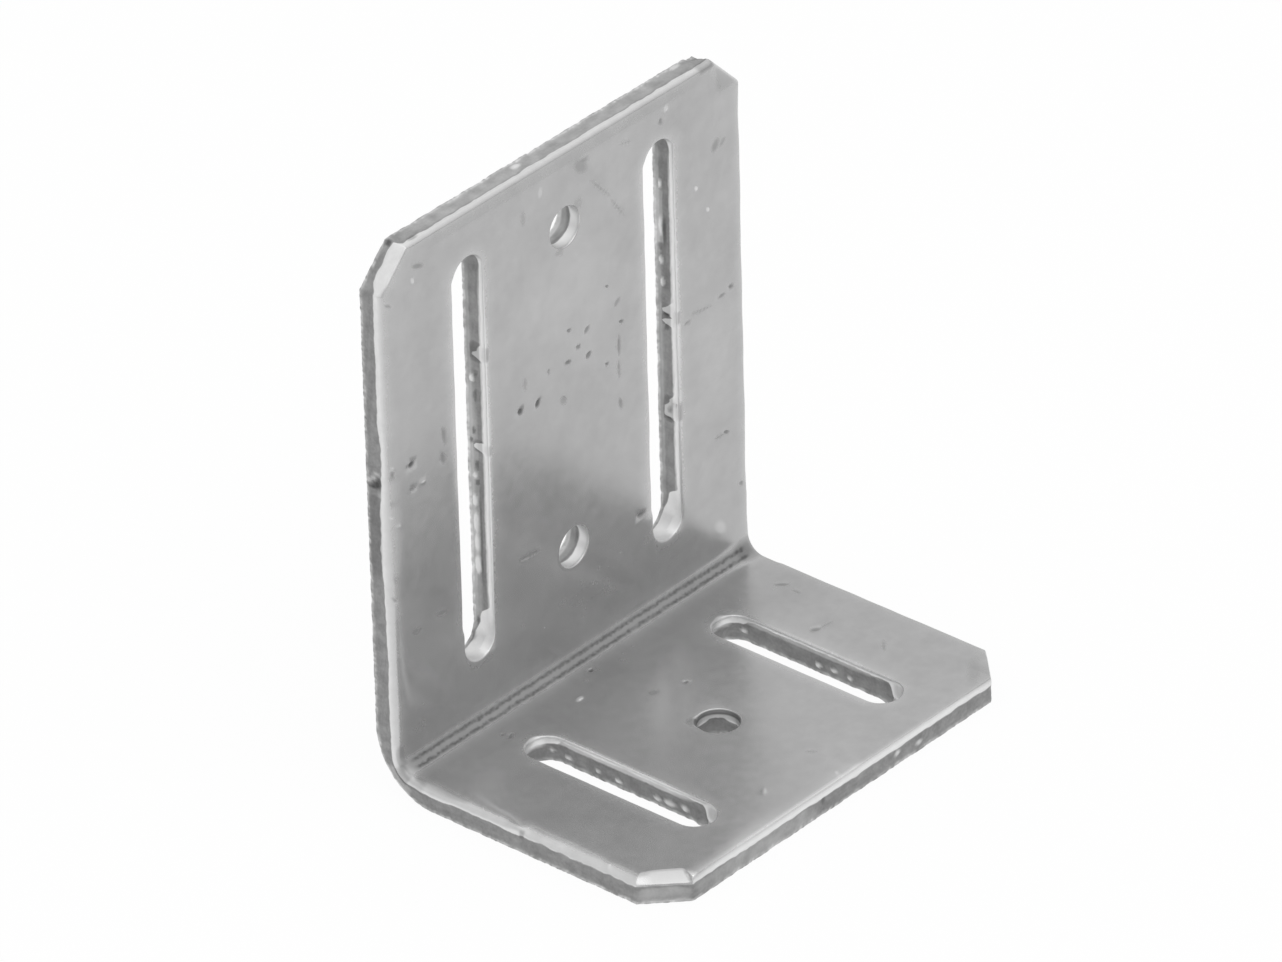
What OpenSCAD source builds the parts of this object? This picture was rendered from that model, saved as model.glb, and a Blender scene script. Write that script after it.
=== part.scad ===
// Angle bracket: one thick plate folded once, with slots and round holes in both legs.
// The fold runs along X, the foot reaches towards -Y and the upright stands at the back along Z.
// Millimetres. The origin is the middle of the rectangle it stands on.

/* [Plate] */
// Width of the bracket along the fold
width = 110; // [100:0.5:160]
// Height of the upright leg above the underside
upright_height = 125; // [115:0.5:180]
// Reach of the foot leg from the back face
foot_reach = 76.5; // [70:0.5:120]
// Thickness of the plate
plate_t = 6; // [5:0.1:8]
// Radius of the outside of the fold
fold_outer_r = 15; // [13:0.5:16]
// Radius of the inside of the fold
fold_inner_r = 4; // [3:0.1:6]
// Length cut off each free corner along both edges
corner_cut = 8; // [4:0.5:12]
// Radius pressed onto the edges of the inner side
edge_round = 1.2; // [0.5:0.1:1.5]

/* [Slots] */
// Width of all four slots
slot_w = 9; // [7:0.1:11]
// Distance from each side of the plate to a slot's centre line
slot_side = 25.75; // [18:0.25:28]
// Distance from the top edge to the end of an upright slot
upright_slot_margin = 10.5; // [8:0.5:20]
// Distance from the underside to the start of an upright slot
upright_slot_start = 20.5; // [18:0.5:30]
// Distance from the front edge to the end of a foot slot
foot_slot_margin = 10; // [8:0.5:16]
// Distance from the back face to the start of a foot slot
foot_slot_start = 18.5; // [18:0.5:26]

/* [Holes] */
// Diameter of the three round holes
hole_d = 9; // [7:0.1:11]
// Distance from the top edge to the upper hole
upper_hole_margin = 17; // [14:0.5:30]
// Distance from the underside to the lower hole
lower_hole_height = 33; // [26:0.5:45]
// How far the foot hole lies in front of the middle of the foot slots
foot_hole_shift = 1; // [-4:0.5:4]

/* [Fold mark] */
// Radius of the two fine creases pressed into the fold
crease_r = 0.25; // [0.1:0.05:0.4]
// Angle round the fold of the upper crease, from the upright
upper_crease = 37; // [25:1:42]
// Angle round the fold of the lower crease, from the upright
lower_crease = 60; // [52:1:70]

/* [Hidden] */
$fn = 96;
over = 2;
fold_c = plate_t + fold_inner_r;

// The side view of the fold and both legs: first number along Y, second along Z.
module side_view() {
    difference() {
        union() {
            translate([-foot_reach, 0]) square([foot_reach - fold_outer_r, upright_height]);
            translate([-foot_reach, fold_outer_r]) square([foot_reach, upright_height - fold_outer_r]);
            translate([-fold_outer_r, fold_outer_r]) circle(fold_outer_r);
        }
        translate([-foot_reach - over, fold_c])
            square([foot_reach + over - plate_t, upright_height]);
        translate([-foot_reach - over, plate_t])
            square([foot_reach + over - fold_c, upright_height]);
        translate([-fold_c, fold_c]) circle(fold_inner_r);
        for (turn = [upper_crease, lower_crease])
            translate([-fold_c + fold_inner_r * cos(turn), fold_c - fold_inner_r * sin(turn)])
                circle(crease_r, $fn = 24);
        translate([-plate_t, upright_height]) rotate(180) edge_view();
        translate([-foot_reach, plate_t]) rotate(180) edge_view();
    }
}

// What a rounded edge takes away, for a corner at zero with the plate to its left and above.
module edge_view() {
    difference() {
        translate([-edge_round, -over]) square([edge_round + over, edge_round + over]);
        translate([-edge_round, edge_round]) circle(edge_round);
    }
}

// A rounded edge on the inner side of a leg; turn 0 runs up the right side, 45 along a cut corner.
module straight_edge(along, from, to, turn) {
    rotate([0, -turn, 0])
        translate([along, -plate_t, from])
            linear_extrude(to - from) edge_view();
}

// The rounded edge where the fold reaches one side of the plate.
module fold_edge() {
    translate([0, -fold_c, fold_c])
        rotate([0, 90, 0])
            rotate_extrude(angle = 90)
                difference() {
                    translate([fold_inner_r - over, width / 2 - edge_round])
                        square([edge_round + over, edge_round + over]);
                    translate([fold_inner_r + edge_round, width / 2 - edge_round])
                        circle(edge_round);
                }
}

// A cutter for a round hole whose mouth on the inner side is rounded.
module round_cutter(d) {
    rotate([90, 0, 0]) {
        translate([0, 0, -over]) cylinder(h = plate_t + 2 * over, d = d);
        translate([0, 0, plate_t])
            rotate_extrude()
                difference() {
                    translate([0, -edge_round]) square([d / 2 + edge_round, edge_round + over]);
                    translate([d / 2 + edge_round, -edge_round]) circle(edge_round);
                }
    }
}

// A cutter for a slot between two heights, rounded at its mouth all the way round.
module slot_cutter(from, to) {
    low = from + slot_w / 2;
    high = to - slot_w / 2;
    for (z = [low, high]) translate([0, 0, z]) round_cutter(slot_w);
    translate([0, 0, low])
        linear_extrude(high - low)
            difference() {
                translate([-slot_w / 2 - edge_round, -plate_t - over])
                    square([slot_w + 2 * edge_round, plate_t + 2 * over]);
                for (side = [-1, 1])
                    translate([side * (slot_w / 2 + edge_round), -plate_t + edge_round])
                        circle(edge_round);
                for (side = [0, 1])
                    mirror([side, 0])
                        translate([slot_w / 2, -plate_t + edge_round])
                            square([edge_round + over, plate_t + 2 * over]);
            }
}

// The two free corners cut off one leg, drawn as if the leg stood upright.
module corner_cuts(reach) {
    for (side = [0, 1])
        mirror([side, 0, 0])
            translate([width / 2, 0, reach])
                rotate([0, -45, 0])
                    cube([corner_cut * sqrt(2), 5 * plate_t, 4 * corner_cut], center = true);
}

// The rounded edges along both sides of one leg, from the fold to its end.
module side_edges(reach) {
    for (side = [0, 1])
        mirror([side, 0, 0]) straight_edge(width / 2, fold_c, reach + over, 0);
}

// The rounded edges along both cut corners of one leg.
module corner_edges(reach) {
    for (side = [0, 1])
        mirror([side, 0, 0])
            translate([width / 2 - corner_cut / 2, 0, reach - corner_cut / 2])
                straight_edge(0, -corner_cut, corner_cut, 45);
}

// The two slots and the round holes of one leg.
module openings(slot_start, slot_end, hole_heights) {
    for (side = [0, 1])
        mirror([side, 0, 0])
            translate([slot_side - width / 2, 0, 0]) slot_cutter(slot_start, slot_end);
    for (z = hole_heights) translate([0, 0, z]) round_cutter(hole_d);
}

module folded_plate() {
    difference() {
        rotate([90, 0, 90]) linear_extrude(width, center = true) side_view();
        corner_cuts(upright_height);
        mirror([0, 1, 1]) corner_cuts(foot_reach);
    }
}

module plate_with_round_sides() {
    difference() {
        folded_plate();
        side_edges(upright_height);
        mirror([0, 1, 1]) side_edges(foot_reach);
        for (side = [0, 1]) mirror([side, 0, 0]) fold_edge();
    }
}

module plate_with_round_edges() {
    difference() {
        plate_with_round_sides();
        corner_edges(upright_height);
        mirror([0, 1, 1]) corner_edges(foot_reach);
    }
}

module bracket() {
    foot_slot_end = foot_reach - foot_slot_margin;
    foot_hole = (foot_slot_start + foot_slot_end) / 2 + foot_hole_shift;
    color("silver")
        translate([0, foot_reach / 2, 0])
            difference() {
                plate_with_round_edges();
                openings(upright_slot_start, upright_height - upright_slot_margin,
                    [lower_hole_height, upright_height - upper_hole_margin]);
                mirror([0, 1, 1]) openings(foot_slot_start, foot_slot_end, [foot_hole]);
            }
}

bracket();
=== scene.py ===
import math

import bmesh
import bpy
import numpy as np
from mathutils import Matrix, Vector, noise
from mathutils.geometry import delaunay_2d_cdt


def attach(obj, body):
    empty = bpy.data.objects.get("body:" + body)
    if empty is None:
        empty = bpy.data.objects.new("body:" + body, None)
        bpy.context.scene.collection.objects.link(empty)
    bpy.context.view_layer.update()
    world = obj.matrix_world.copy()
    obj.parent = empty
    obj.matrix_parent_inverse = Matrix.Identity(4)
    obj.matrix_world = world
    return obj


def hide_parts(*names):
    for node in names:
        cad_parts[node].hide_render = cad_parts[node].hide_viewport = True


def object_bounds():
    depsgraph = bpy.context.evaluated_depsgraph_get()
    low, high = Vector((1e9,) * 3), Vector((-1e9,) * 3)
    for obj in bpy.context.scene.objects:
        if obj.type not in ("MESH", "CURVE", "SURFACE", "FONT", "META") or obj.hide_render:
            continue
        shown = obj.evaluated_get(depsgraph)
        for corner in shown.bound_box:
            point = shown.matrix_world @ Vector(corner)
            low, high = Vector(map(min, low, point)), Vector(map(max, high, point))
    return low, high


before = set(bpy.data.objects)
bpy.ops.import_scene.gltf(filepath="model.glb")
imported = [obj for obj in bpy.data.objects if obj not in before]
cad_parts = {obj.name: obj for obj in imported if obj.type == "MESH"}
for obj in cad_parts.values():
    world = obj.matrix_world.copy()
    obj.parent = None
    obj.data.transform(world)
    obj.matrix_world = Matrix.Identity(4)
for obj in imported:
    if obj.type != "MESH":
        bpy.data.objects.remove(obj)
cad_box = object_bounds()


# The camera stands to the left, high, and far back behind a long lens, so that the bracket's
# edges stay nearly parallel. It is turned a little about its own axis.
eye = Vector((-1.685213, -1.459417, 1.427068))
right = Vector((0.647860, -0.761445, -0.021877))
up = Vector((0.410088, 0.324425, 0.852394))
camera = bpy.data.objects.new("camera", bpy.data.cameras.new("camera"))
bpy.context.scene.collection.objects.link(camera)
turn = Matrix((right, up, right.cross(up))).transposed().to_4x4()
camera.matrix_world = Matrix.Translation(eye) @ turn
camera.data.sensor_width = 36.0
camera.data.lens = 366.784
camera.data.clip_start = 0.05
camera.data.clip_end = 20.0
bpy.context.scene.camera = camera


# The bracket's blank: one flat steel plate, 6 mm thick, cut to its outline and punched from
# the side that later faces inwards. Lengths here are millimetres on the flat plate: x runs
# across it, and s runs down it from the top edge, over the fold, to the front edge of the foot.
# The overall sizes come from the frame.
(_, front_y, _), (half_width, back_y, top_z) = [
    [round(1000 * value, 2) for value in corner] for corner in cad_box]
thickness = 6.0
inner_radius, outer_radius, fold_run = 4.0, 15.0, 20.0
fold_from = top_z - outer_radius
fold_to = fold_from + fold_run
length = fold_to + back_y - outer_radius - front_y
corner_cut = 8.0
slot_across = 29.25
slot_radius = 4.5
slots = [(side * slot_across, low, high)
         for side in (-1, 1) for low, high in ((15.0, 100.0), (138.0, 177.0))]
holes = [(0.0, 17.0), (0.0, 92.0), (0.0, 158.5)]
corners = np.array([
    (-half_width + corner_cut, 0), (half_width - corner_cut, 0),
    (half_width, corner_cut), (half_width, length - corner_cut),
    (half_width - corner_cut, length), (-half_width + corner_cut, length),
    (-half_width, length - corner_cut), (-half_width, corner_cut)], float)


def spaced(start, end, count):
    """Evenly spaced points between two ends, without the ends."""
    return [start + (end - start) * k / count for k in range(1, count)]


def outline_ring(inset, step, corner_radius=0.45):
    """The plate's outline, moved inwards, with its corners just broken."""
    before, after = np.roll(corners, 1, 0), np.roll(corners, -1, 0)
    unit = lambda v: v / np.linalg.norm(v, axis=1)[:, None]
    inwards_before = unit(corners - before) @ np.array([[0, 1], [-1, 0]])
    inwards_after = unit(after - corners) @ np.array([[0, 1], [-1, 0]])
    middle = inwards_before + inwards_after
    middle = middle / (middle * inwards_after).sum(1)[:, None]
    moved = corners + inset * middle
    ring = []
    for i in range(len(corners)):
        centre = moved[i] + corner_radius * middle[i]
        start = math.atan2(-inwards_before[i][1], -inwards_before[i][0])
        for j in range(5):
            angle = start + math.pi / 4 * j / 4
            ring.append(centre + corner_radius * np.array([math.cos(angle), math.sin(angle)]))
        j = (i + 1) % len(corners)
        end = moved[j] + corner_radius * middle[j] - corner_radius * inwards_after[i]
        count = round(np.linalg.norm(after[i] - corners[i]) / step)
        ring += spaced(ring[-1], end, count)
    return np.array(ring)


def slot_ring(slot, inset, step):
    """A slot's edge, moved into the plate around it."""
    x, low, high = slot
    radius = slot_radius + inset
    around = round(math.pi * slot_radius / step)
    ring = []
    for centre, start in ((high, 0.0), (low, math.pi)):
        for k in range(around + 1):
            angle = start + math.pi * k / around
            ring.append(np.array([x + radius * math.cos(angle),
                                  centre + radius * math.sin(angle)]))
        end = np.array([x - radius * math.cos(start),
                        low if centre == high else high])
        ring += spaced(ring[-1], end, round((high - low) / step))
    return np.array(ring)


def hole_ring(hole, inset, step):
    """A round hole's edge, moved into the plate around it."""
    count = round(2 * math.pi * slot_radius / step)
    angle = np.arange(count) * 2 * math.pi / count
    radius = slot_radius + inset
    return np.stack([hole[0] + radius * np.cos(angle), hole[1] + radius * np.sin(angle)], 1)


def edge_distance(x, s):
    """How far a place on the plate lies from the nearest cut edge."""
    after = np.roll(corners, -1, 0)
    along = (after - corners) / np.linalg.norm(after - corners, axis=1)[:, None]
    near = np.full(np.shape(x), 1e9)
    for corner, run in zip(corners, along):
        near = np.minimum(near, -(x - corner[0]) * run[1] + (s - corner[1]) * run[0])
    for cx, low, high in slots:
        near = np.minimum(near, np.hypot(x - cx, s - np.clip(s, low, high)) - slot_radius)
    for cx, cs in holes:
        near = np.minimum(near, np.hypot(x - cx, s - cs) - slot_radius)
    return near


# The fold: the plate is bent once, square, so the inside keeps a tight 4 mm radius, the outside
# stretches round a 15 mm one, and the metal between them is drawn thinner.
upright_y = back_y - thickness
inner_leg = outer_radius - thickness - inner_radius


def folded(x, s, depth):
    """Where a place on the plate, at a depth below its inner side, comes to lie once folded,
    with the directions along the plate and out of its inner side there. The upper part of the
    thickness stays as it is, and only what is below it is drawn thinner."""
    share = np.clip((s - fold_from) / (fold_to - fold_from), 0, 1)
    arc = inner_radius * math.pi / 2
    run = share * (2 * inner_leg + arc)
    angle = np.clip((run - inner_leg) / inner_radius, 0, math.pi / 2)
    inner_y = upright_y - inner_radius + inner_radius * np.cos(angle)
    inner_z = thickness + inner_radius - inner_radius * np.sin(angle)
    inner_z = inner_z + np.clip(inner_leg - run, 0, None)
    inner_y = inner_y - np.clip(run - inner_leg - arc, 0, None)
    outer_y = back_y - outer_radius + outer_radius * np.cos(share * math.pi / 2)
    outer_z = outer_radius - outer_radius * np.sin(share * math.pi / 2)
    climb = np.clip(fold_from - s, 0, None)
    reach = np.clip(s - fold_to, 0, None)
    thick = np.hypot(outer_y - inner_y, outer_z - inner_z)
    into_y, into_z = (outer_y - inner_y) / thick, (outer_z - inner_z) / thick
    upper = 1.7
    deep = np.where(depth < upper, depth,
                    upper + (depth - upper) * (thick - upper) / (thickness - upper))
    place = np.stack([x, inner_y + into_y * deep - reach, inner_z + into_z * deep + climb], -1)
    out = np.stack([np.zeros_like(x), -into_y, -into_z], -1)
    down = np.stack([np.zeros_like(x), -out[..., 2], out[..., 1]], -1)
    return place, down, out


# Handling marks: pits, flecks, dents and scratches on the inner side, each a flat-bottomed
# ellipse with sloping sides. Some are holes in the zinc, some are specks that stand proud.
# x and s of the middle, half length, half width, degrees from x towards s, height and shade.
marks = [
    (-48.0, 49.5, 0.86, 0.58, -15, -0.30, -0.95), (-15.0, 52.9, 0.78, 0.72, 26, -0.30, -0.90),
    (-9.7, 53.5, 0.91, 0.63, -60, -0.28, -0.85), (3.0, 46.3, 0.71, 0.38, 20, -0.20, -0.50),
    (6.1, 49.6, 0.83, 0.62, -28, -0.25, -0.60), (-0.3, 48.4, 0.91, 0.35, 17, -0.20, -0.60),
    (11.6, 54.3, 0.52, 0.25, 33, -0.20, -0.50), (-6.2, 47.8, 0.61, 0.35, 78, -0.10, -0.35),
    (15.4, 51.7, 2.09, 0.43, -89, -0.12, -0.45), (15.2, 57.1, 1.90, 0.39, 88, -0.10, -0.35),
    (15.4, 65.4, 1.33, 0.49, 75, -0.12, -0.35), (-2.0, 56.5, 1.15, 0.79, 46, -0.10, -0.25),
    (-13.4, 47.3, 1.40, 0.54, 88, -0.05, -0.20), (0.3, 41.2, 0.58, 0.36, 24, -0.20, -0.50),
    (5.8, 43.5, 0.92, 0.52, -35, -0.20, -0.50), (16.3, 46.5, 0.65, 0.34, 18, -0.20, -0.55),
    (12.2, 36.4, 0.52, 0.27, 34, -0.15, -0.50), (15.2, 41.4, 1.03, 0.56, -35, -0.12, -0.35),
    (36.8, 56.5, 0.60, 0.32, 19, -0.20, -0.55), (40.8, 55.4, 3.48, 0.25, 8, -0.08, -0.25),
    (47.5, 55.0, 1.01, 0.38, -4, -0.12, -0.40), (50.5, 54.2, 0.68, 0.48, 15, -0.20, -0.60),
    (46.5, 19.2, 1.42, 0.93, -58, -0.05, -0.35), (48.8, 19.4, 1.04, 0.56, -35, -0.03, -0.25),
    (40.2, 26.4, 0.62, 0.41, 54, 0.15, 0.50), (43.7, 32.9, 0.62, 0.41, 54, 0.12, 0.40),
    (31.5, 3.9, 0.64, 0.52, 41, 0.15, 0.50), (29.8, 6.1, 0.73, 0.49, -86, -0.12, -0.50),
    (19.0, 6.1, 1.76, 0.24, 11, -0.04, -0.25), (5.2, 5.3, 2.20, 1.23, 41, -0.03, -0.28),
    (6.5, 4.3, 1.20, 0.46, 16, -0.05, -0.30), (11.1, 13.1, 4.11, 0.21, 47, -0.08, -0.30),
    (16.1, 19.8, 3.26, 0.22, 54, -0.06, -0.25), (-12.5, 9.2, 1.61, 0.60, 88, -0.02, -0.18),
    (-7.2, 5.7, 1.06, 0.65, -82, 0.05, 0.20), (-44.2, 5.5, 1.60, 0.50, 20, -0.08, -0.40),
    (-45.9, 8.1, 0.75, 0.45, 66, 0.10, 0.35), (-53.1, 10.8, 0.60, 0.28, 32, -0.15, -0.50),
    (-38.1, 47.7, 2.05, 0.59, 78, -0.05, -0.40), (-38.6, 52.6, 1.27, 0.65, 75, -0.05, -0.45),
    (20.8, 94.5, 1.05, 0.57, 5, -0.25, -0.70), (52.6, 102.2, 0.67, 0.49, 33, -0.15, -0.60),
    (48.1, 87.8, 0.85, 0.41, 25, -0.20, -0.55), (45.9, 87.8, 1.38, 0.24, 3, -0.06, -0.30),
    (45.5, 109.6, 2.03, 1.31, 56, 0.04, 0.22), (-54.0, 78.5, 0.51, 0.26, 36, -0.15, -0.60),
    (-40.5, 87.9, 1.42, 0.50, 12, -0.05, -0.30), (-48.2, 88.5, 1.19, 0.59, 8, -0.04, -0.25),
    (-13.7, 87.5, 3.01, 0.32, 5, -0.10, -0.35), (-47.8, 55.4, 0.65, 0.36, 4, -0.12, -0.30),
    (-44.7, 55.1, 0.52, 0.32, 12, 0.10, 0.30), (-1.5, 124.9, 0.69, 0.48, -35, -0.25, -0.75),
    (-11.2, 131.2, 1.12, 0.52, -6, 0.22, 0.80), (-30.5, 129.2, 1.29, 0.38, -32, -0.20, -0.65),
    (-31.0, 127.1, 0.53, 0.40, -45, -0.10, -0.35), (7.1, 143.8, 0.49, 0.45, -48, -0.20, -0.60),
    (0.0, 141.2, 1.27, 0.80, 26, -0.03, -0.20), (-53.9, 175.6, 0.80, 0.40, -41, 0.12, 0.35),
    (48.0, 135.2, 1.44, 0.50, 48, -0.10, -0.40), (47.7, 139.3, 0.97, 0.39, -89, -0.05, -0.25),
    (38.9, 151.7, 1.07, 0.66, 25, -0.15, -0.50), (41.7, 152.3, 1.77, 0.28, 5, -0.04, -0.25),
    (42.8, 166.6, 1.91, 0.33, -42, -0.04, -0.30), (46.3, 187.4, 3.40, 1.23, -36, 0.0, -0.16),
    (0.0, 189.8, 0.59, 0.36, -40, 0.12, 0.35), (-14.4, 182.7, 1.17, 0.48, -37, 0.05, 0.25),
    (2.9, 180.6, 1.21, 0.37, 52, -0.03, -0.20), (-33.3, 153.6, 0.71, 0.44, 1, -0.05, -0.25),
    (-53.6, 49.3, 0.60, 0.40, 80, -0.08, -0.50), (-53.9, 47.9, 0.50, 0.40, 0, 0.06, 0.30),
    (-52.2, 61.8, 0.60, 0.40, 40, 0.06, 0.35), (-54.0, 59.3, 0.50, 0.40, 0, 0.06, 0.30)]
mark_floor, mark_foot = 0.6, 1.4


def marked(x, s):
    """The height and shade that the marks give a place, and how near it is to one."""
    height, shade, near = np.zeros(len(x)), np.zeros(len(x)), np.full(len(x), 99.0)
    for mark_x, mark_s, long, wide, turned, high, tone in marks:
        cos, sin = math.cos(math.radians(turned)), math.sin(math.radians(turned))
        away = np.hypot(((x - mark_x) * cos + (s - mark_s) * sin) / long,
                        ((s - mark_s) * cos - (x - mark_x) * sin) / wide)
        share = np.clip((mark_foot - away) / (mark_foot - mark_floor), 0, 1)
        height, shade, near = height + high * share, shade + tone * share, np.minimum(near, away)
    return height, shade, near


def mark_points():
    """Close points over each mark: its middle, the rim of its floor, its side and its foot."""
    points = []
    for mark_x, mark_s, long, wide, turned, _, _ in marks:
        points.append((mark_x, mark_s))
        cos, sin = math.cos(math.radians(turned)), math.sin(math.radians(turned))
        for scale in (mark_floor, 1.0, mark_foot):
            around = max(8, round(4 * scale * (long + wide) / 0.8))
            for k in range(around):
                angle = 2 * math.pi * (k + 0.5 * (scale == 1.0)) / around
                u, v = scale * long * math.cos(angle), scale * wide * math.sin(angle)
                points.append((mark_x + u * cos - v * sin, mark_s + u * sin + v * cos))
    return np.array(points)


# The cut edges: the punch rolls the mouth of every edge over, leaves a burnished band below it
# and then tears the rest of the thickness, which stays rough under the zinc. Around the roll
# the inner side droops a little towards the edge.
plain_form = (0.8, 0.9, 0.0, 0.5, 2.1)
droop_reach = 5.0
left_wall, right_wall = -slot_across + slot_radius, slot_across + slot_radius
# x and s of the middle, half reach across and down and how softly it ends; then how far in
# and down the roll reaches, how flat it is, the droop, and the burnished depth.
odd_edges = []
for x in (-slot_across, slot_across):
    odd_edges += [
        (x, 57.5, 6, 48.5, 1, 0.3, 0.4, 0, 0.15, 1.35),
        (x, 157.5, 6, 25.5, 1, 0.3, 0.4, 0, 0.12, 0.92),
        (x - 4.5, 57.5, 1, 42.5, 2, 0.35, 0.6, 0, 0.45, 1.5),
        (x - 4.5, 157.5, 1, 19.5, 2, 0.2, 0.25, 0, 0.15, 1.5),
        (x, 102.5, 6, 5.5, 2.0, 0.3, 0.4, 0, 0.08, 3.7),
        (x, 105.0, 6, 2.5, 4.5, 0.3, 0.4, 0, 0.08, 5.0),
        (x - 1.0, 133.8, 1.6, 0.9, 1.2, 0.4, 0.5, 0, 0.1, 1.7),
        (x + 2.0, 134.0, 1.2, 0.8, 1.5, 1.0, 0.7, 0, 0.15, 2.1),
        (x + 4.0, 135.6, 1.0, 1.2, 1.5, 0.3, 0.4, 0, 0.1, 1.9),
        (x - 4.2, 136.8, 1.0, 1.5, 1.2, 0.2, 0.3, 0, 0.1, 0.7),
        (x + 3.5, 179.8, 1.8, 2.8, 1.5, 0.3, 0.3, 0, 0.05, 5.0)]
# The top edge, the four cut corners and the front edge come first, then the left edge from the
# top down, the right edge, the holes, and last the steps in the right-hand walls of the slots.
odd_edges += [
    (0, 0, 46.5, 1, 0.7, 0.6, 1.0, 0, 0.12, 2.0),
    (-51, 4, 3.9, 3.9, 0.5, 0.45, 0.7, 0, 0.25, 3.9),
    (51, 4, 3.9, 3.9, 0.5, 1.3, 1.2, 0, 0.5, 2.1),
    (-51, 187.5, 3.9, 3.9, 0.4, 3.2, 1.5, 1, 0.15, 1.9),
    (51, 187.5, 3.9, 3.9, 0.5, 0.4, 0.5, 0, 0.2, 1.9),
    (0, length, 46.5, 1, 0.8, 0.4, 1.0, 0, 0.3, 1.95),
    (27, length, 20, 1, 5, 0.4, 1.0, 0, 0.05, 1.9)]
for s, *form in (
        (25, 17, 2, 0.9, 0.9, 0, 0.5, 2.4), (45, 4, 2, 0.6, 0.9, 0, 0.2, 1.85),
        (66, 9, 2, 1.0, 0.9, 0, 0.8, 2.45), (83, 8, 2, 1.3, 0.9, 0, 1.0, 2.2),
        (103, 10, 3, 1.3, 0.9, 0, 1.0, 2.1), (117, 2.0, 4, 0.9, 0.9, 0, 0.6, 2.3),
        (122, 1.5, 2, 1.0, 0.9, 0, 0.8, 2.6), (130, 4.5, 4, 1.6, 1.0, 0, 1.0, 2.3),
        (142, 6, 4, 1.4, 0.9, 0, 1.0, 2.05), (169, 13, 4, 2.6, 0.9, 0, 1.2, 1.9)):
    odd_edges.append((-half_width, s, 1, *form))
odd_edges += [
    (half_width, 57, 1, 47, 2, 0.9, 1.0, 0, 0.6, 2.0),
    (half_width, 157, 1, 27, 2, 0.6, 0.6, 0, 0.4, 2.1)]
for x, s in holes[:2]:
    odd_edges.append((x, s, 5.5, 5.5, 1, 0.3, 0.5, 0, 0.0, 2.6))
odd_edges += [
    (0, 158.5, 5.5, 5.5, 1, 0.35, 0.35, 0, 0.05, 2.7),
    (-3, 155.1, 1, 1, 1.2, 0.9, 0.6, 0, 0.05, 2.2),
    (3.2, 155.3, 1, 1, 1.2, 0.35, 0.35, 0, 0.05, 2.2)]
for wall, s, half_s, soft, burnished in (
        (left_wall, 34.9, 0.3, 1.6, 2.4), (left_wall, 36.1, 0.2, 0.9, 3.9),
        (left_wall, 57.6, 0.4, 0.9, 4.1), (right_wall, 52.3, 0.3, 1.6, 2.5),
        (right_wall, 53.3, 0.3, 0.9, 4.2), (right_wall, 55.8, 0.2, 1.1, 4.2),
        (right_wall, 75.4, 0.9, 2.0, 2.6), (right_wall, 77.1, 1.0, 1.2, 4.3)):
    odd_edges.append((wall, s, 0.8, half_s, soft, 0.3, 0.4, 0, 0.15, burnished))
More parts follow.
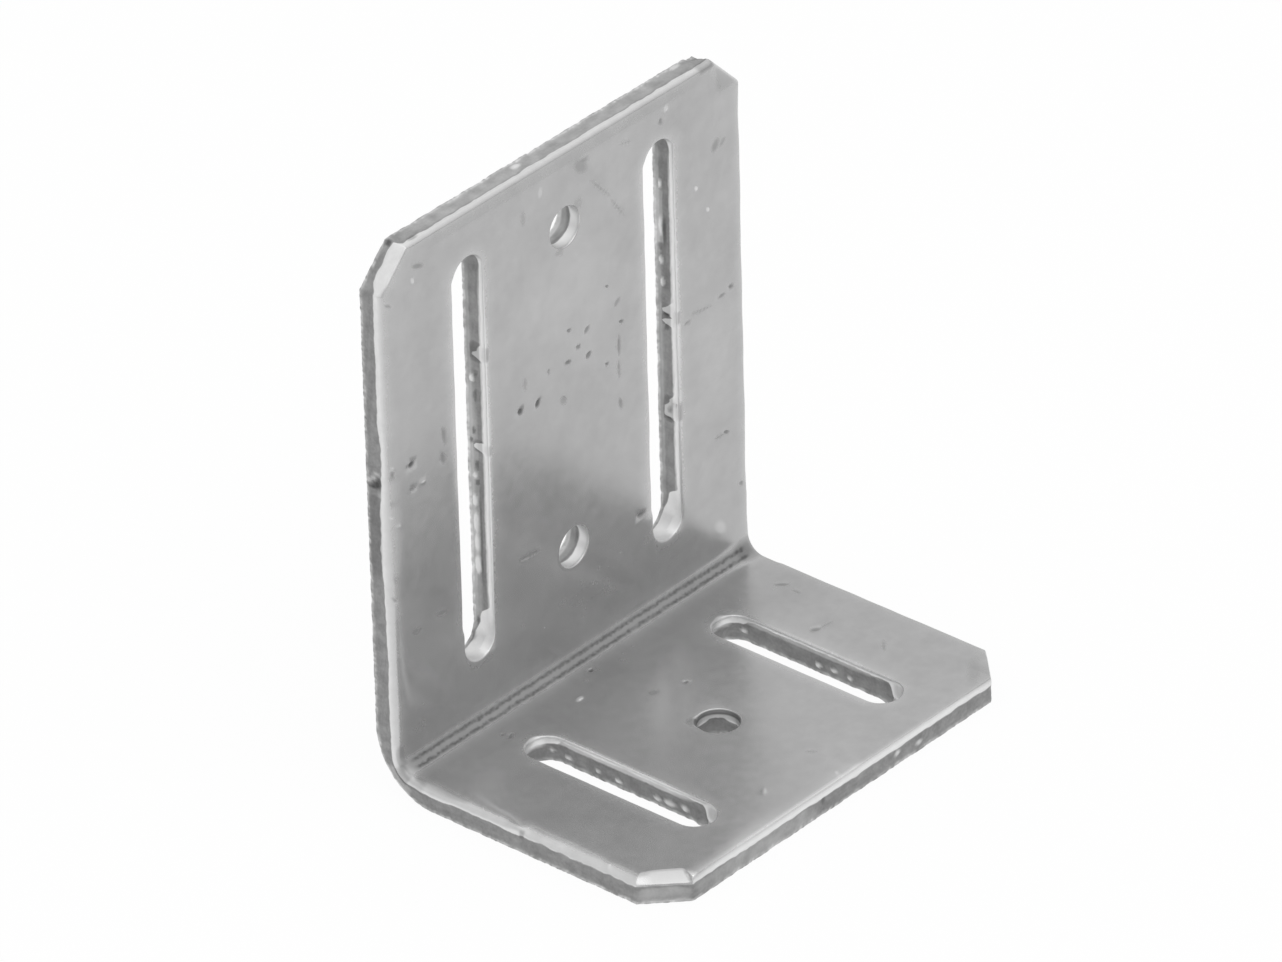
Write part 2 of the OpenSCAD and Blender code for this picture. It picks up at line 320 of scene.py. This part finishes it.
# Beads of zinc on the torn band, and places dented in: x, s and depth of the middle, half
# sizes the same way, how far it stands proud, and shade. Those on one straight wall share its
# x and a half size of 1 mm across it.
beads = []
for wall, rows in (
        (left_wall, (
            (41.9, 4.1, 1.0, 0.8, 0.40, 1.0), (40.7, 3.1, 0.7, 0.6, 0.0, -0.6),
            (45.8, 3.4, 1.8, 0.4, -0.1, -0.5), (54.2, 4.1, 0.9, 0.5, -0.1, -0.6),
            (56.5, 4.8, 0.8, 0.5, -0.1, -0.6), (62.2, 3.4, 1.4, 0.5, -0.1, -0.7),
            (64.7, 4.0, 0.8, 0.7, 0.30, 0.8), (66.2, 3.4, 0.8, 0.5, -0.1, -0.6),
            (70.6, 4.2, 1.7, 0.8, 0.25, 0.8), (75.8, 4.1, 2.7, 0.8, 0.25, 0.8),
            (80.6, 4.0, 2.8, 0.8, 0.25, 0.7), (85.6, 3.9, 2.8, 0.9, 0.30, 0.9),
            (99.2, 4.5, 1.0, 0.6, -0.1, -0.6), (135.7, 3.3, 0.8, 0.7, 0.35, 0.9),
            (139.7, 4.0, 1.2, 0.6, 0.35, 0.8), (147.6, 3.9, 0.8, 0.6, 0.35, 0.8),
            (153.0, 4.2, 1.1, 0.6, 0.35, 1.0), (163.3, 4.2, 1.3, 0.6, 0.35, 0.8),
            (166.6, 4.0, 1.8, 0.8, 0.35, 0.8), (170.6, 3.7, 1.1, 0.9, 0.35, 0.9))),
        (right_wall, (
            (54.2, 3.1, 0.6, 1.0, -0.1, -0.8), (57.1, 3.0, 0.8, 0.7, -0.1, -0.7),
            (75.0, 1.3, 0.6, 0.8, -0.1, -0.6), (76.6, 2.8, 1.0, 0.7, 0.25, -0.3),
            (78.9, 2.7, 0.5, 1.2, -0.1, -0.6), (23.7, 4.0, 1.2, 0.6, 0.35, 1.0),
            (33.6, 4.0, 2.8, 0.7, 0.30, 0.7), (38.4, 4.3, 1.1, 0.9, -0.05, -0.5),
            (35.0, 3.1, 5.0, 0.5, -0.10, -0.6), (41.6, 4.1, 1.2, 0.7, 0.35, 0.9),
            (46.7, 3.8, 1.2, 0.7, 0.45, 1.0), (137.0, 3.4, 0.9, 0.7, 0.35, 0.9),
            (156.8, 4.1, 0.9, 0.7, 0.35, 1.0), (160.9, 3.8, 1.0, 0.6, 0.35, 0.9),
            (165.1, 4.1, 0.8, 0.6, 0.35, 0.9))),
        (-half_width, (
            (51.8, 2.8, 1.7, 0.9, -0.25, -0.9), (52.4, 3.8, 1.1, 0.9, -0.20, -0.9),
            (52.9, 4.8, 0.6, 0.9, -0.10, -0.7), (49.6, 3.1, 0.6, 1.0, 0.05, 0.35),
            (50.6, 4.0, 0.6, 1.0, 0.05, 0.35), (51.5, 4.9, 0.6, 1.0, 0.05, 0.35),
            (54.4, 3.4, 0.6, 2.6, 0.10, 0.2), (153.3, 1.6, 0.8, 1.2, -0.15, -0.5)))):
    beads += [(wall, s, depth, 1, *rest) for s, depth, *rest in rows]
for x in (-slot_across, slot_across):
    beads += [
        (x - 3.15, 103.0, 5.2, 2.0, 2.2, 1.6, 0.7, 0.3),
        (x + slot_radius, 176.5, 5.5, 1.5, 3.5, 1.2, 0.6, 0.2)]
beads += [
    (-25.5, 103.0, 5.0, 1.2, 1.2, 0.6, -0.1, -0.5),
    (-6.5, length, 2.7, 0.9, 1, 0.9, -0.2, -0.6), (16.9, length, 3.1, 1.1, 1, 0.8, 0.1, 0.6),
    (23.7, length, 3.9, 1.2, 1, 0.7, 0.1, 0.6), (-9.6, 0, 4.2, 1.6, 1, 0.9, 0.2, 0.5),
    (-43.5, 0, 1.8, 1.6, 1, 0.8, 0.0, -0.5), (-47.2, 0.4, 4.9, 0.9, 0.9, 1.1, -0.2, -0.9),
    (40.4, 0, 5.0, 1.8, 1, 0.7, 0.1, 0.4), (47, 0, 6.0, 3.2, 3.2, 3.5, -0.7, 0)]
# Lighter and darker places along the edges, many of them painted light and shade: x, s and
# depth of the middle, half sizes the same way, and shade. First what both slots of a leg have,
# with three shades that differ between left and right, then the two upright holes, and then the
# single places.
tones = []
for x, rim_shade, heel_highlight, heel_edge_shade in (
        (-slot_across, 0.75, 0.7, -0.1), (slot_across, 0.85, 0.5, -0.2)):
    tones += [
        # In each slot: painted light on the lit back band of the right-hand wall, a painted
        # highlight on the heel of the foot slot at its end nearest the fold, and painted light on
        # the upward-facing lower end of the upright slot.
        (x + slot_radius, 56, 5.2, 1, 46, 1.1, 0.25),
        (x + slot_radius, 57, 1.0, 0.7, 44, 0.95, rim_shade),
        (x + 0.25, 133.8, 1.7, 3.0, 1.6, 1.0, heel_highlight),
        (x + 0.75, 133.3, 0.3, 3.0, 1.6, 0.7, heel_edge_shade),
        (x + 3.25, 179.7, 2.2, 2.2, 3.4, 1.9, -0.35),
        (x + 3.25, 103.0, 1.0, 1.5, 1.8, 1.2, 0.5),
        (x, 104, 2.6, 5, 3, 3.2, -0.12)]
# Painted light in each upright hole where light falls into it: on the lit crescent of its wall,
# its back band, its rim and its lower part.
for (x, s), hole_wall_light in zip(holes[:2], (0.26, 0.22)):
    tones += [
        (x, s, 4.3, 6, 6, 1.2, hole_wall_light), (x, s, 5.4, 6, 6, 0.9, 0.4),
        (x, s, 1.5, 6, 6, 1.2, 0.5), (x + 1.5, s + 4.0, 1.7, 3.0, 1.8, 1.2, 0.6)]
# Among the single places are painted light and shade: a painted highlight on the near cut corner
# at -46.4, 190.4, painted shadow beside the upper hole at 4.1, 13.3 and -1.9, 21.9, painted shade
# at the foot hole's left side and down its wall, painted light on the top wall and on the front
# wall, a painted highlight on the front rim, painted shade along the top edge of the inner side,
# painted shade at -54.6, 123.0 that dims a glint at the fold's left end, and painted shade over
# the fold's right end.
tones += [
    (left_wall, 72, 4.5, 1, 30, 1.5, 0.2), (left_wall, 56, 3.0, 1, 46, 1.9, 0.06),
    (left_wall, 79, 2.9, 1, 9.4, 0.35, -0.45), (left_wall, 35.4, 2.6, 0.5, 2.4, 1.9, -0.45),
    (left_wall, 35.4, 0.5, 0.8, 1.7, 0.8, -0.6), (left_wall, 57.6, 2.6, 0.5, 1.5, 1.9, -0.3),
    (left_wall, 57.8, 0.5, 0.8, 1.1, 0.8, -0.45), (left_wall, 153, 0.9, 1.0, 21, 1.0, 0.7),
    (right_wall, 32, 4.6, 1, 8, 1.3, 0.3), (right_wall, 72, 3.0, 1, 26, 1.9, 0.10),
    (right_wall, 54.2, 2.6, 0.5, 2.8, 2.0, -0.42), (right_wall, 54.2, 0.5, 0.8, 1.7, 0.8, -0.6),
    (right_wall, 76.4, 2.6, 0.5, 3.2, 2.1, -0.42), (right_wall, 76.4, 0.5, 0.8, 2.3, 0.8, -0.6),
    (right_wall, 153, 0.9, 0.6, 21, 0.9, 0.4), (-46.4, 190.4, 0, 1.1, 1.1, 1, 0.4),
    (4.1, 13.3, 0, 1.3, 1.3, 1, -0.15), (-1.9, 21.9, 0, 1.2, 0.7, 1, -0.2),
    (-3.3, 154.8, 0.3, 1.3, 1.3, 1.1, -0.5), (45.5, 0, 0.8, 3.5, 1.2, 1.6, -0.4),
    (-54.3, 116.5, 0.1, 1.3, 3.0, 0.8, -0.3),
    (0, 158.5, 0.75, 6, 6, 0.75, -0.95), (0, 158.5, 1.8, 6, 6, 0.8, -0.35),
    (-51, 187.5, 4.0, 5, 5, 1.9, 0.18), (51, 187.5, 0, 4.2, 4.2, 1, -0.1),
    (0, length, 0.9, 47, 1, 0.9, 0.35), (-27, length, 3.8, 20, 1, 1.9, 0.16),
    (0, 0, 3.9, 47, 1, 2.1, 0.16), (0, 1.9, 0, 46, 1.4, 1, -0.09),
    (0, 0, 1.1, 47, 0.6, 1.1, -0.1), (-half_width, 64, 3.9, 1, 11, 1.7, -0.35),
    (-half_width, 121, 4.6, 1.2, 3.5, 1.8, 0.22), (-54.7, 120.6, 1.2, 0.8, 2.3, 2.4, -0.3),
    (-54.6, 123.0, 0.9, 1.3, 4.2, 2.4, -0.2), (-53.9, 131, 0.3, 0.7, 8.0, 0.8, -0.3),
    (54, 120, 0, 5.0, 3.5, 2, -0.25), (51, 4, 0, 4, 4, 0.6, -0.16)]
# Soft lighter and darker patches on the inner side: x and s of the middle, half sizes and shade.
# The two lighter patches along the upright's left edge, at -52, 84 and -54.2, 106, are painted
# light.
soft_patches = [
    (0.5, 33, 14, 12, 0.08), (44, 68, 9, 14, 0.07), (-48, 111, 7, 9, -0.09),
    (5, 105, 20, 6, -0.10), (-6, 149, 8, 10, 0.15), (4, 148, 8, 9, 0.10), (40, 135, 14, 7, -0.07),
    (-2, 127, 14, 5, -0.10), (-1.5, 7, 4, 4, -0.05), (50, 44, 4, 6, -0.05), (0, 60, 14, 12, -0.03),
    (-46, 22, 7, 12, -0.03), (-52, 84, 5, 9, 0.06), (-51, 168, 4, 14, 0.05),
    (-54.2, 106, 1.6, 14, 0.12), (4.0, 155.2, 1.8, 1.8, 0.15), (-19, 148, 9, 9, 0.08)]
# Rings of points follow every edge: over the rim, round the roll, down the wall to its foot,
# and under the back edge, each row given as how far in it lies and how deep.
roll_angles = np.radians([0, 12, 25, 38, 51, 64, 77, 90])
rim_inset, back_inset = 4.2, 1.4
wall_shares = np.array([0.06, 0.13, 0.2, 0.28, 0.36, 0.44, 0.52, 0.6, 0.68, 0.76, 0.84, 0.92, 1])
wall_foot, back_from = 5.85, 5.9
under_rows = [(0.05, 5.94), (0.15, thickness), (0.6, thickness), (back_inset, thickness)]
step = 0.56


def edge_form(place):
    """How far in and down a cut edge is rolled over, how flat the roll is, how much the plate
    droops towards it, and how deep it is burnished, all along the edge."""
    wobble = np.array([noise.noise(Vector((p[0] / 8, p[1] / 8, 3.7))) for p in place])
    quick = np.array([noise.noise(Vector((p[0] / 2.5, p[1] / 2.5, 8.1))) for p in place])
    form = np.tile(plain_form, (len(place), 1))
    for x, s, reach_x, reach_s, soft, *odd in odd_edges:
        away = np.maximum(np.abs(place[:, 0] - x) - reach_x, np.abs(place[:, 1] - s) - reach_s)
        share = np.clip(1 - away / soft, 0, 1)
        share = share * share * (3 - 2 * share)
        form += (np.array(odd) - form) * share[:, None]
    reach, rolled, flat, droops, deep = form.T
    uneven = 1 + 0.12 * wobble + 0.05 * quick
    deep = deep + np.minimum(deep, 2.0) * (0.14 * wobble + 0.12 * quick)
    droops = droops * (1 + 0.4 * wobble)
    return reach * uneven, rolled * uneven, flat, droops, np.maximum(deep, rolled + 0.1)


sheet, inset, below, rubbed, sideways, faces, rings = [], [], [], [], [], [], []
# Each edge's maker of rings, and how keenly the metal rubs bright down its roll.
ring_makers = [(lambda d: outline_ring(d, step), 1.0)]
ring_makers += [(lambda d, slot=slot: slot_ring(slot, d, step), 1.3) for slot in slots]
ring_makers += [(lambda d, hole=hole: hole_ring(hole, d, step * 0.8), 1.3) for hole in holes]
count = 0
for ring_of, keen in ring_makers:
    edge = ring_of(0.0)
    into = ring_of(1.0) - edge
    reach, rolled, flat, droops, deep = edge_form(edge)
    whole = np.ones(len(edge))
    mouth = rolled + droops
    rows = [(reach + (rim_inset - reach) * share, 0 * whole, 1)
            for share in (1, 0.8, 0.6, 0.4, 0.2)]
    for a in roll_angles:
        bent = a / math.radians(90)
        rows.append((reach * ((1 - math.sin(a)) * (1 - flat) + (1 - bent) * flat),
                     rolled * ((1 - math.cos(a)) * (1 - flat) + bent * flat), 1))
    rows += [(0 * whole, mouth + (wall_foot - mouth) * share, 0) for share in wall_shares]
    rows += [(d * whole, depth * whole, 0) for d, depth in under_rows]
    for k, (d, depth, drooping) in enumerate(rows):
        depth = depth + drooping * droops * (1 - d / droop_reach) ** 3
        sheet.append(np.column_stack([edge + into * d[:, None], depth]))
        inset.append(d)
        below.append(depth - deep)
        rubs = np.clip(depth / mouth * keen, 0, 1) * (1 - 0.95 * flat)
        rubbed.append(rubs * (depth < back_from))
        sideways.append(into)
        if k:
            ring = np.arange(len(edge))
            following = np.roll(ring, -1)
            a, b = count - len(edge), count
            faces += np.column_stack([a + ring, a + following,
                                      b + following, b + ring]).tolist()
        count += len(edge)
    rings.append((np.arange(count - len(edge) * len(rows), count - len(edge) * (len(rows) - 1)),
                  np.arange(count - len(edge), count)))


# The two skins: the flat of the plate between its edges, inside and outside, with more rows
# across the fold and close points over the marks.
def skin(depth, ring_ids, spacing, fold_rows, least, extra):
    """Triangles over the plate between the innermost rings, and their points."""
    global count
    across = np.linspace(-half_width, half_width, round(2 * half_width / spacing) + 1)
    down = np.concatenate([
        np.linspace(0, fold_from, round(fold_from / spacing), endpoint=False), fold_rows,
        np.linspace(length, fold_to, round((length - fold_to) / spacing), endpoint=False)])
    x, s = [v.ravel() for v in np.meshgrid(across, down)]
    if len(extra):
        clear = marked(x, s)[2] > mark_foot + 0.25
        x, s = np.append(x[clear], extra[:, 0]), np.append(s[clear], extra[:, 1])
    keep = edge_distance(x, s) > least + 0.3
    x, s = x[keep], s[keep]
    points, bounds_of = [], []
    ids = np.concatenate(ring_ids)
    for ring in [np.concatenate(sheet)[ids_of][:, :2] for ids_of in ring_ids]:
        first = len(points)
        points += ring.tolist()
        bounds_of += [(first + k, first + (k + 1) % len(ring)) for k in range(len(ring))]
    points += np.column_stack([x, s]).tolist()
    ids = np.concatenate([ids, np.arange(count, count + len(x))])
    made = delaunay_2d_cdt([Vector(p) for p in points], bounds_of, [], 0, 1e-7)
    back = [ids[o[0]] for o in made[3]]
    middle = np.array([np.mean([made[0][i][:] for i in f], axis=0) for f in made[2]])
    inside = edge_distance(middle[:, 0], middle[:, 1]) > least + 1e-4
    faces.extend([[back[i] for i in f] for f, ok in zip(made[2], inside) if ok])
    sheet.append(np.column_stack([x, s, np.full(len(x), depth)]))
    inset.append(edge_distance(x, s))
    below.append(np.full(len(x), depth - plain_form[4]))
    rubbed.append(np.zeros(len(x)))
    sideways.append(np.zeros((len(x), 2)))
    count += len(x)


fine_rows = np.concatenate([np.arange(110.0, 115.4, 0.9), np.arange(115.6, 125.6, 0.25),
                            np.arange(126.0, 130.0, 0.9)])
skin(0.0, [first for first, _ in rings], 1.25, fine_rows, rim_inset, mark_points())
skin(thickness, [last for _, last in rings], 2.4, np.arange(110.0, 130.0, 1.0), back_inset, [])

sheet, inset, below, rubbed = [np.concatenate(v) for v in (sheet, inset, below, rubbed)]
sideways = np.concatenate(sideways)
place, along, out = folded(*sheet.T)
sideways = sideways[:, :1] * np.array([1.0, 0, 0]) + sideways[:, 1:] * along
sideways /= np.maximum(np.linalg.norm(sideways, axis=1), 1e-9)[:, None]
height, shade, _ = marked(sheet[:, 0], sheet[:, 1])
facing_in = np.clip(1.6 - sheet[:, 2] / 0.8, 0, 1)
height, shade = height * facing_in, shade * facing_in

# The torn band is pitted in two sizes, and its foot at the back edge is ragged and painted pale,
# partly as thicker zinc and partly as painted light where the back edge catches it. The beads
# stand on it, but nothing stands past the plate's own outline.
side = (sheet[:, 2] > 1.0) * (inset < 0.3)
torn = side * np.clip((below + 0.2) / 0.5, 0, 1)
coarse = np.zeros(len(sheet))
grain = np.zeros(len(sheet))
for i in np.flatnonzero(torn > 0):
    coarse[i] = noise.noise(Vector((place[i][0] / 2.6, place[i][1] / 2.6, place[i][2] / 2.6)))
    grain[i] = noise.fractal(Vector(place[i]) / 0.9, 0.8, 2.1, 2)


def spread(middle, half_sizes, power):
    """How far each point lies from a place: 0 at its middle, 1 on its rim and more beyond."""
    return (((sheet - middle) / half_sizes) ** power).sum(1)


bead_push, bead_shade = np.zeros(len(sheet)), np.zeros(len(sheet))
for *middle_and_sizes, push, tone in beads:
    away = spread(middle_and_sizes[:3], middle_and_sizes[3:], 2)
    share = (inset < 0.9) * np.clip(1.3 - 1.3 * away, 0, 1)
    bead_push += push * share
    bead_shade += tone * share
for *middle_and_sizes, tone in tones:
    away = spread(middle_and_sizes[:3], middle_and_sizes[3:], 4)
    shade += tone * np.clip(1.6 - 1.6 * away, 0, 1)
for x, s, half_x, half_s, tone in soft_patches:
    away = ((sheet[:, 0] - x) / half_x) ** 2 + ((sheet[:, 1] - s) / half_s) ** 2
    shade += tone * facing_in * np.exp(-away)
# The torn band's foot at the back edge: paler zinc together with painted light.
back_zinc_and_painted_light = side * np.clip((sheet[:, 2] - 5.0) / 0.7, 0, 1)
on_outline = np.abs(edge_distance(sheet[:, 0], sheet[:, 1])
                    - np.minimum(half_width - np.abs(sheet[:, 0]),
                                 np.minimum(sheet[:, 1], length - sheet[:, 1]))) < 0.5
push = torn * np.clip(0.08 + 0.18 * coarse + 0.14 * grain, 0, 0.35) - bead_push
push = np.where(on_outline, np.maximum(push, 0), push)
place += sideways * push[:, None]
shade += bead_shade + back_zinc_and_painted_light * (0.38 + 0.5 * grain) + torn * 0.12 * coarse

# The fold's two creases, drawn by the tool's nose, and the shade painted across it: darkest
# between the creases, with a little painted light on either side.
fold_places = [114.0, 116.0, 117.5, 118.4, 119.2, 120.0, 120.6, 121.3, 122.1, 123.0, 124.2, 126.0]
fold_painted_shade = [0.0, 0.05, 0.0, -0.20, -0.30, -0.41, -0.42, -0.32, -0.13, 0.08, 0.09, 0.0]
on_skin = np.clip(1 - sheet[:, 2] / 0.5, 0, 1) * (inset > 0.9)
ends = np.clip((inset - 1.5) / 2.0, 0, 1)
shade += on_skin * np.interp(sheet[:, 1], fold_places, fold_painted_shade)
first_crease, second_crease = 119.15, 121.2
crease = sum(np.exp(-((sheet[:, 1] - centre) / 0.5) ** 2)
             for centre in (first_crease, second_crease))
place += out * (on_skin * ends * crease * -0.06 + height)[:, None]

mesh = bpy.data.meshes.new("bracket_plate")
mesh.from_pydata((place / 1000).tolist(), [], faces)
shape = bmesh.new()
shape.from_mesh(mesh)
bmesh.ops.recalc_face_normals(shape, faces=shape.faces)
shape.to_mesh(mesh)
shape.free()
mesh.shade_smooth()
for name, values in (("below", below), ("edge", inset), ("rubbed", rubbed), ("shade", shade),
                     ("down", sheet[:, 1])):
    mesh.attributes.new(name, "FLOAT", "POINT").data.foreach_set("value", values.astype("f"))
plate = bpy.data.objects.new("bracket_plate", mesh)
bpy.context.scene.collection.objects.link(plate)
print("bracket_plate:", len(mesh.vertices), "points,",
      sum(len(f) - 2 for f in faces), "triangles")


# Its finish is hot-dip zinc, gone grey and slightly mottled: brighter where the rolled and
# burnished rims rub clean, dull and grainy on the torn band.
class Wire:
    """One socket of a finish. + - * and / on wires add Math nodes."""

    def __init__(self, tree, socket=None):
        self.tree, self.socket = tree, socket

    def node(self, kind, settings, inputs, out=0):
        """Adds a node of any kind: its settings first, then its sockets' values or wires."""
        made = self.tree.nodes.new("ShaderNode" + kind)
        for name, value in settings.items():
            setattr(made, name, value)
        for name, value in inputs.items():
            if isinstance(value, Wire):
                self.tree.links.new(value.socket, made.inputs[name])
            else:
                made.inputs[name].default_value = value
        return Wire(self.tree, made.outputs[out])

    def math(self, operation, *others):
        return self.node("Math", {"operation": operation}, dict(enumerate((self,) + others)))

    def __add__(self, other):
        return self.math("ADD", other)

    def __sub__(self, other):
        return self.math("SUBTRACT", other)

    def __mul__(self, other):
        return self.math("MULTIPLY", other)

    def __radd__(self, other):
        return self + other

    def __rsub__(self, other):
        return self * -1 + other

    def __rmul__(self, other):
        return self * other

    def between(self, low, high):
        """0 below low, 1 above high, and smooth between."""
        return self.node("MapRange", {"interpolation_type": "SMOOTHSTEP"},
                         {"Value": self, "From Min": low, "From Max": high})

    def mixed(self, other, share):
        """This value where share is 0, the other where it is 1."""
        return self + (other - self) * share


zinc = bpy.data.materials.new("galvanised_steel")
zinc.use_nodes = True
tree = zinc.node_tree
tree.nodes.clear()
wire = Wire(tree)
below, edge, rubbed, shade, down = [
    wire.node("Attribute", {"attribute_name": name}, {}, "Fac")
    for name in ("below", "edge", "rubbed", "shade", "down")]
where = wire.node("TexCoord", {}, {}, "Object")


def cloud(scale, detail=2.0, roughness=0.5):
    """Noise about zero at a scale per metre."""
    return wire.node("TexNoise", {}, {"Vector": where, "Scale": scale, "Detail": detail,
                                      "Roughness": roughness}) - 0.5


blotches, mottle, fine = cloud(90), cloud(420, 3.0), cloud(1500, 2.0)
depth_only = wire.node("CombineXYZ", {}, {"Z": below * 1.1})
along_edge = wire.node("VectorMath", {"operation": "MULTIPLY_ADD"},
                       {0: where, 1: (150.0, 150.0, 150.0), 2: depth_only}, "Vector")
streaks = wire.node("TexNoise", {}, {"Vector": along_edge, "Scale": 1.0, "Detail": 2.0}) - 0.5
wall = 1 - edge.between(0.05, 0.4)
torn_band = wall * (below + 0.7 * mottle).between(-0.2, 0.2)
rim = rubbed * (1 - torn_band)
on_inside = (1 - below.between(-0.6, -0.1)) * edge.between(2.2, 4.4)
waver, ripple = 0.5 * cloud(150), 0.9 * cloud(1000, 1.0)
# The creases are drawn as painted shade: dark lines along each crease that stand in for the shade
# in its groove.
first = (down - first_crease + waver + ripple).math("ABSOLUTE").between(0.05, 0.85)
second = (down - (second_crease + 0.05) + waver - ripple).math("ABSOLUTE").between(0.05, 0.85)
crease_shade = on_inside * (2 - first - second) * (1 + 1.5 * cloud(1200, 1.0))
# dark and light take the shade attribute. It carries the marks' and beads' own tone together with
# painted light and shade from the edge tones, the soft patches, the fold and the torn band's pale
# back foot. dark also takes the painted shade of the creases.
dark = (0.48 * crease_shade - shade).math("MAXIMUM", 0.0).math("MINIMUM", 1.0)
light = shade.math("MAXIMUM", 0.0).math("MINIMUM", 1.0)

face_tone = 0.455 + 0.10 * blotches + 0.07 * mottle
rim_tone = 0.76 + 0.14 * mottle + 0.06 * fine
torn_tone = 0.27 + 0.14 * mottle + 0.12 * fine + 0.10 * streaks
tone = face_tone.mixed(rim_tone, rim).mixed(torn_tone, torn_band)
tone = tone.mixed(tone * 0.25, dark).mixed(0.92, light)
gloss = (0.24 + 0.10 * mottle).mixed(0.38, rim).mixed(0.55, torn_band)
gloss = gloss.mixed(0.5, dark)
metal = (0.75 - 0.1 * rim).mixed(0.35, torn_band).mixed(0.4, dark)
relief = mottle * 0.2 + torn_band * (1.6 * mottle + 0.9 * fine)
bump = wire.node("Bump", {}, {"Strength": 0.6, "Distance": 0.00012, "Height": relief})
shader = wire.node("BsdfPrincipled", {}, {
    "Base Color": tone, "Metallic": metal, "Roughness": gloss, "Normal": bump})
tree.links.new(shader.socket, tree.nodes.new("ShaderNodeOutputMaterial").inputs["Surface"])
mesh.materials.append(zinc)

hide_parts("bracket")
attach(plate, "root")


# The floor is a plain white table top. The camera and the metal's gloss see it as nearly
# white, and the bracket's soft shadow stays on it, plainest under the hole in the foot.
floor_mesh = bpy.data.meshes.new("floor")
floor_mesh.from_pydata([(-6, -6, 0), (6, -6, 0), (6, 6, 0), (-6, 6, 0)], [], [(0, 1, 2, 3)])
floor = bpy.data.objects.new("floor", floor_mesh)
bpy.context.scene.collection.objects.link(floor)
paper = bpy.data.materials.new("table_top")
paper.use_nodes = True
paper.node_tree.nodes.clear()
wire = Wire(paper.node_tree)
matte = wire.node("BsdfDiffuse", {}, {"Color": (0.86, 0.86, 0.86, 1)})
glow = wire.node("Emission", {}, {"Color": (1, 1, 1, 1), "Strength": 1.0})
seen = wire.node("LightPath", {}, {}, "Is Camera Ray")
glossy = wire.node("LightPath", {}, {}, "Is Glossy Ray")
spot = wire.node("TexCoord", {}, {}, "Object")
under_foot_hole = (0.0, -0.00525, 0.0)
away = wire.node("VectorMath", {"operation": "DISTANCE"},
                 {0: spot, 1: under_foot_hole}, "Value")
bare = 0.95 * away.between(0.0052, 0.0060)
shown = 0.62 + 0.38 * (1 - away.between(0.25, 0.6))
mix = wire.node("MixShader", {}, {0: bare * seen + shown * glossy, 1: matte, 2: glow})
paper.node_tree.links.new(
    mix.socket, paper.node_tree.nodes.new("ShaderNodeOutputMaterial").inputs["Surface"])
floor_mesh.materials.append(paper)


# The studio: a pale room all round with a bright ceiling, and one broad soft light overhead,
# a little to the front.
world = bpy.data.worlds.new("studio")
bpy.context.scene.world = world
world.use_nodes = True
world.node_tree.nodes.clear()
wire = Wire(world.node_tree)
seen = wire.node("LightPath", {}, {}, "Is Camera Ray")
through = wire.node("LightPath", {}, {}, "Is Transmission Ray")
glossy = wire.node("LightPath", {}, {}, "Is Glossy Ray")
toward = wire.node("TexCoord", {}, {}, "Generated")
climb = wire.node("SeparateXYZ", {}, {"Vector": toward}, "Z")
room_light = 0.62 + 0.06 * glossy + 0.15 * climb.between(0.05, 0.5)
room_light = room_light + 0.35 * climb.between(0.5, 0.95)
strength = room_light.mixed(1.0, seen.math("MAXIMUM", through))
room = wire.node("Background", {}, {"Color": (1, 1, 1, 1), "Strength": strength})
world.node_tree.links.new(
    room.socket, world.node_tree.nodes.new("ShaderNodeOutputWorld").inputs["Surface"])

soft_size, soft_radiance = 1.3, 0.8
lamp = bpy.data.lights.new("soft_light_above", "AREA")
lamp.shape = "DISK"
lamp.size = soft_size
lamp.energy = soft_radiance * math.pi * math.pi * (soft_size / 2) ** 2
soft_light = bpy.data.objects.new("soft_light_above", lamp)
soft_light.location = (-0.25, -0.45, 1.35)
soft_light.rotation_mode = "QUATERNION"
soft_light.rotation_quaternion = (
    Vector((0, 0, 0.05)) - soft_light.location).to_track_quat("-Z", "Y")
soft_light.visible_camera = False
bpy.context.scene.collection.objects.link(soft_light)

bpy.context.scene.view_settings.view_transform = "Standard"
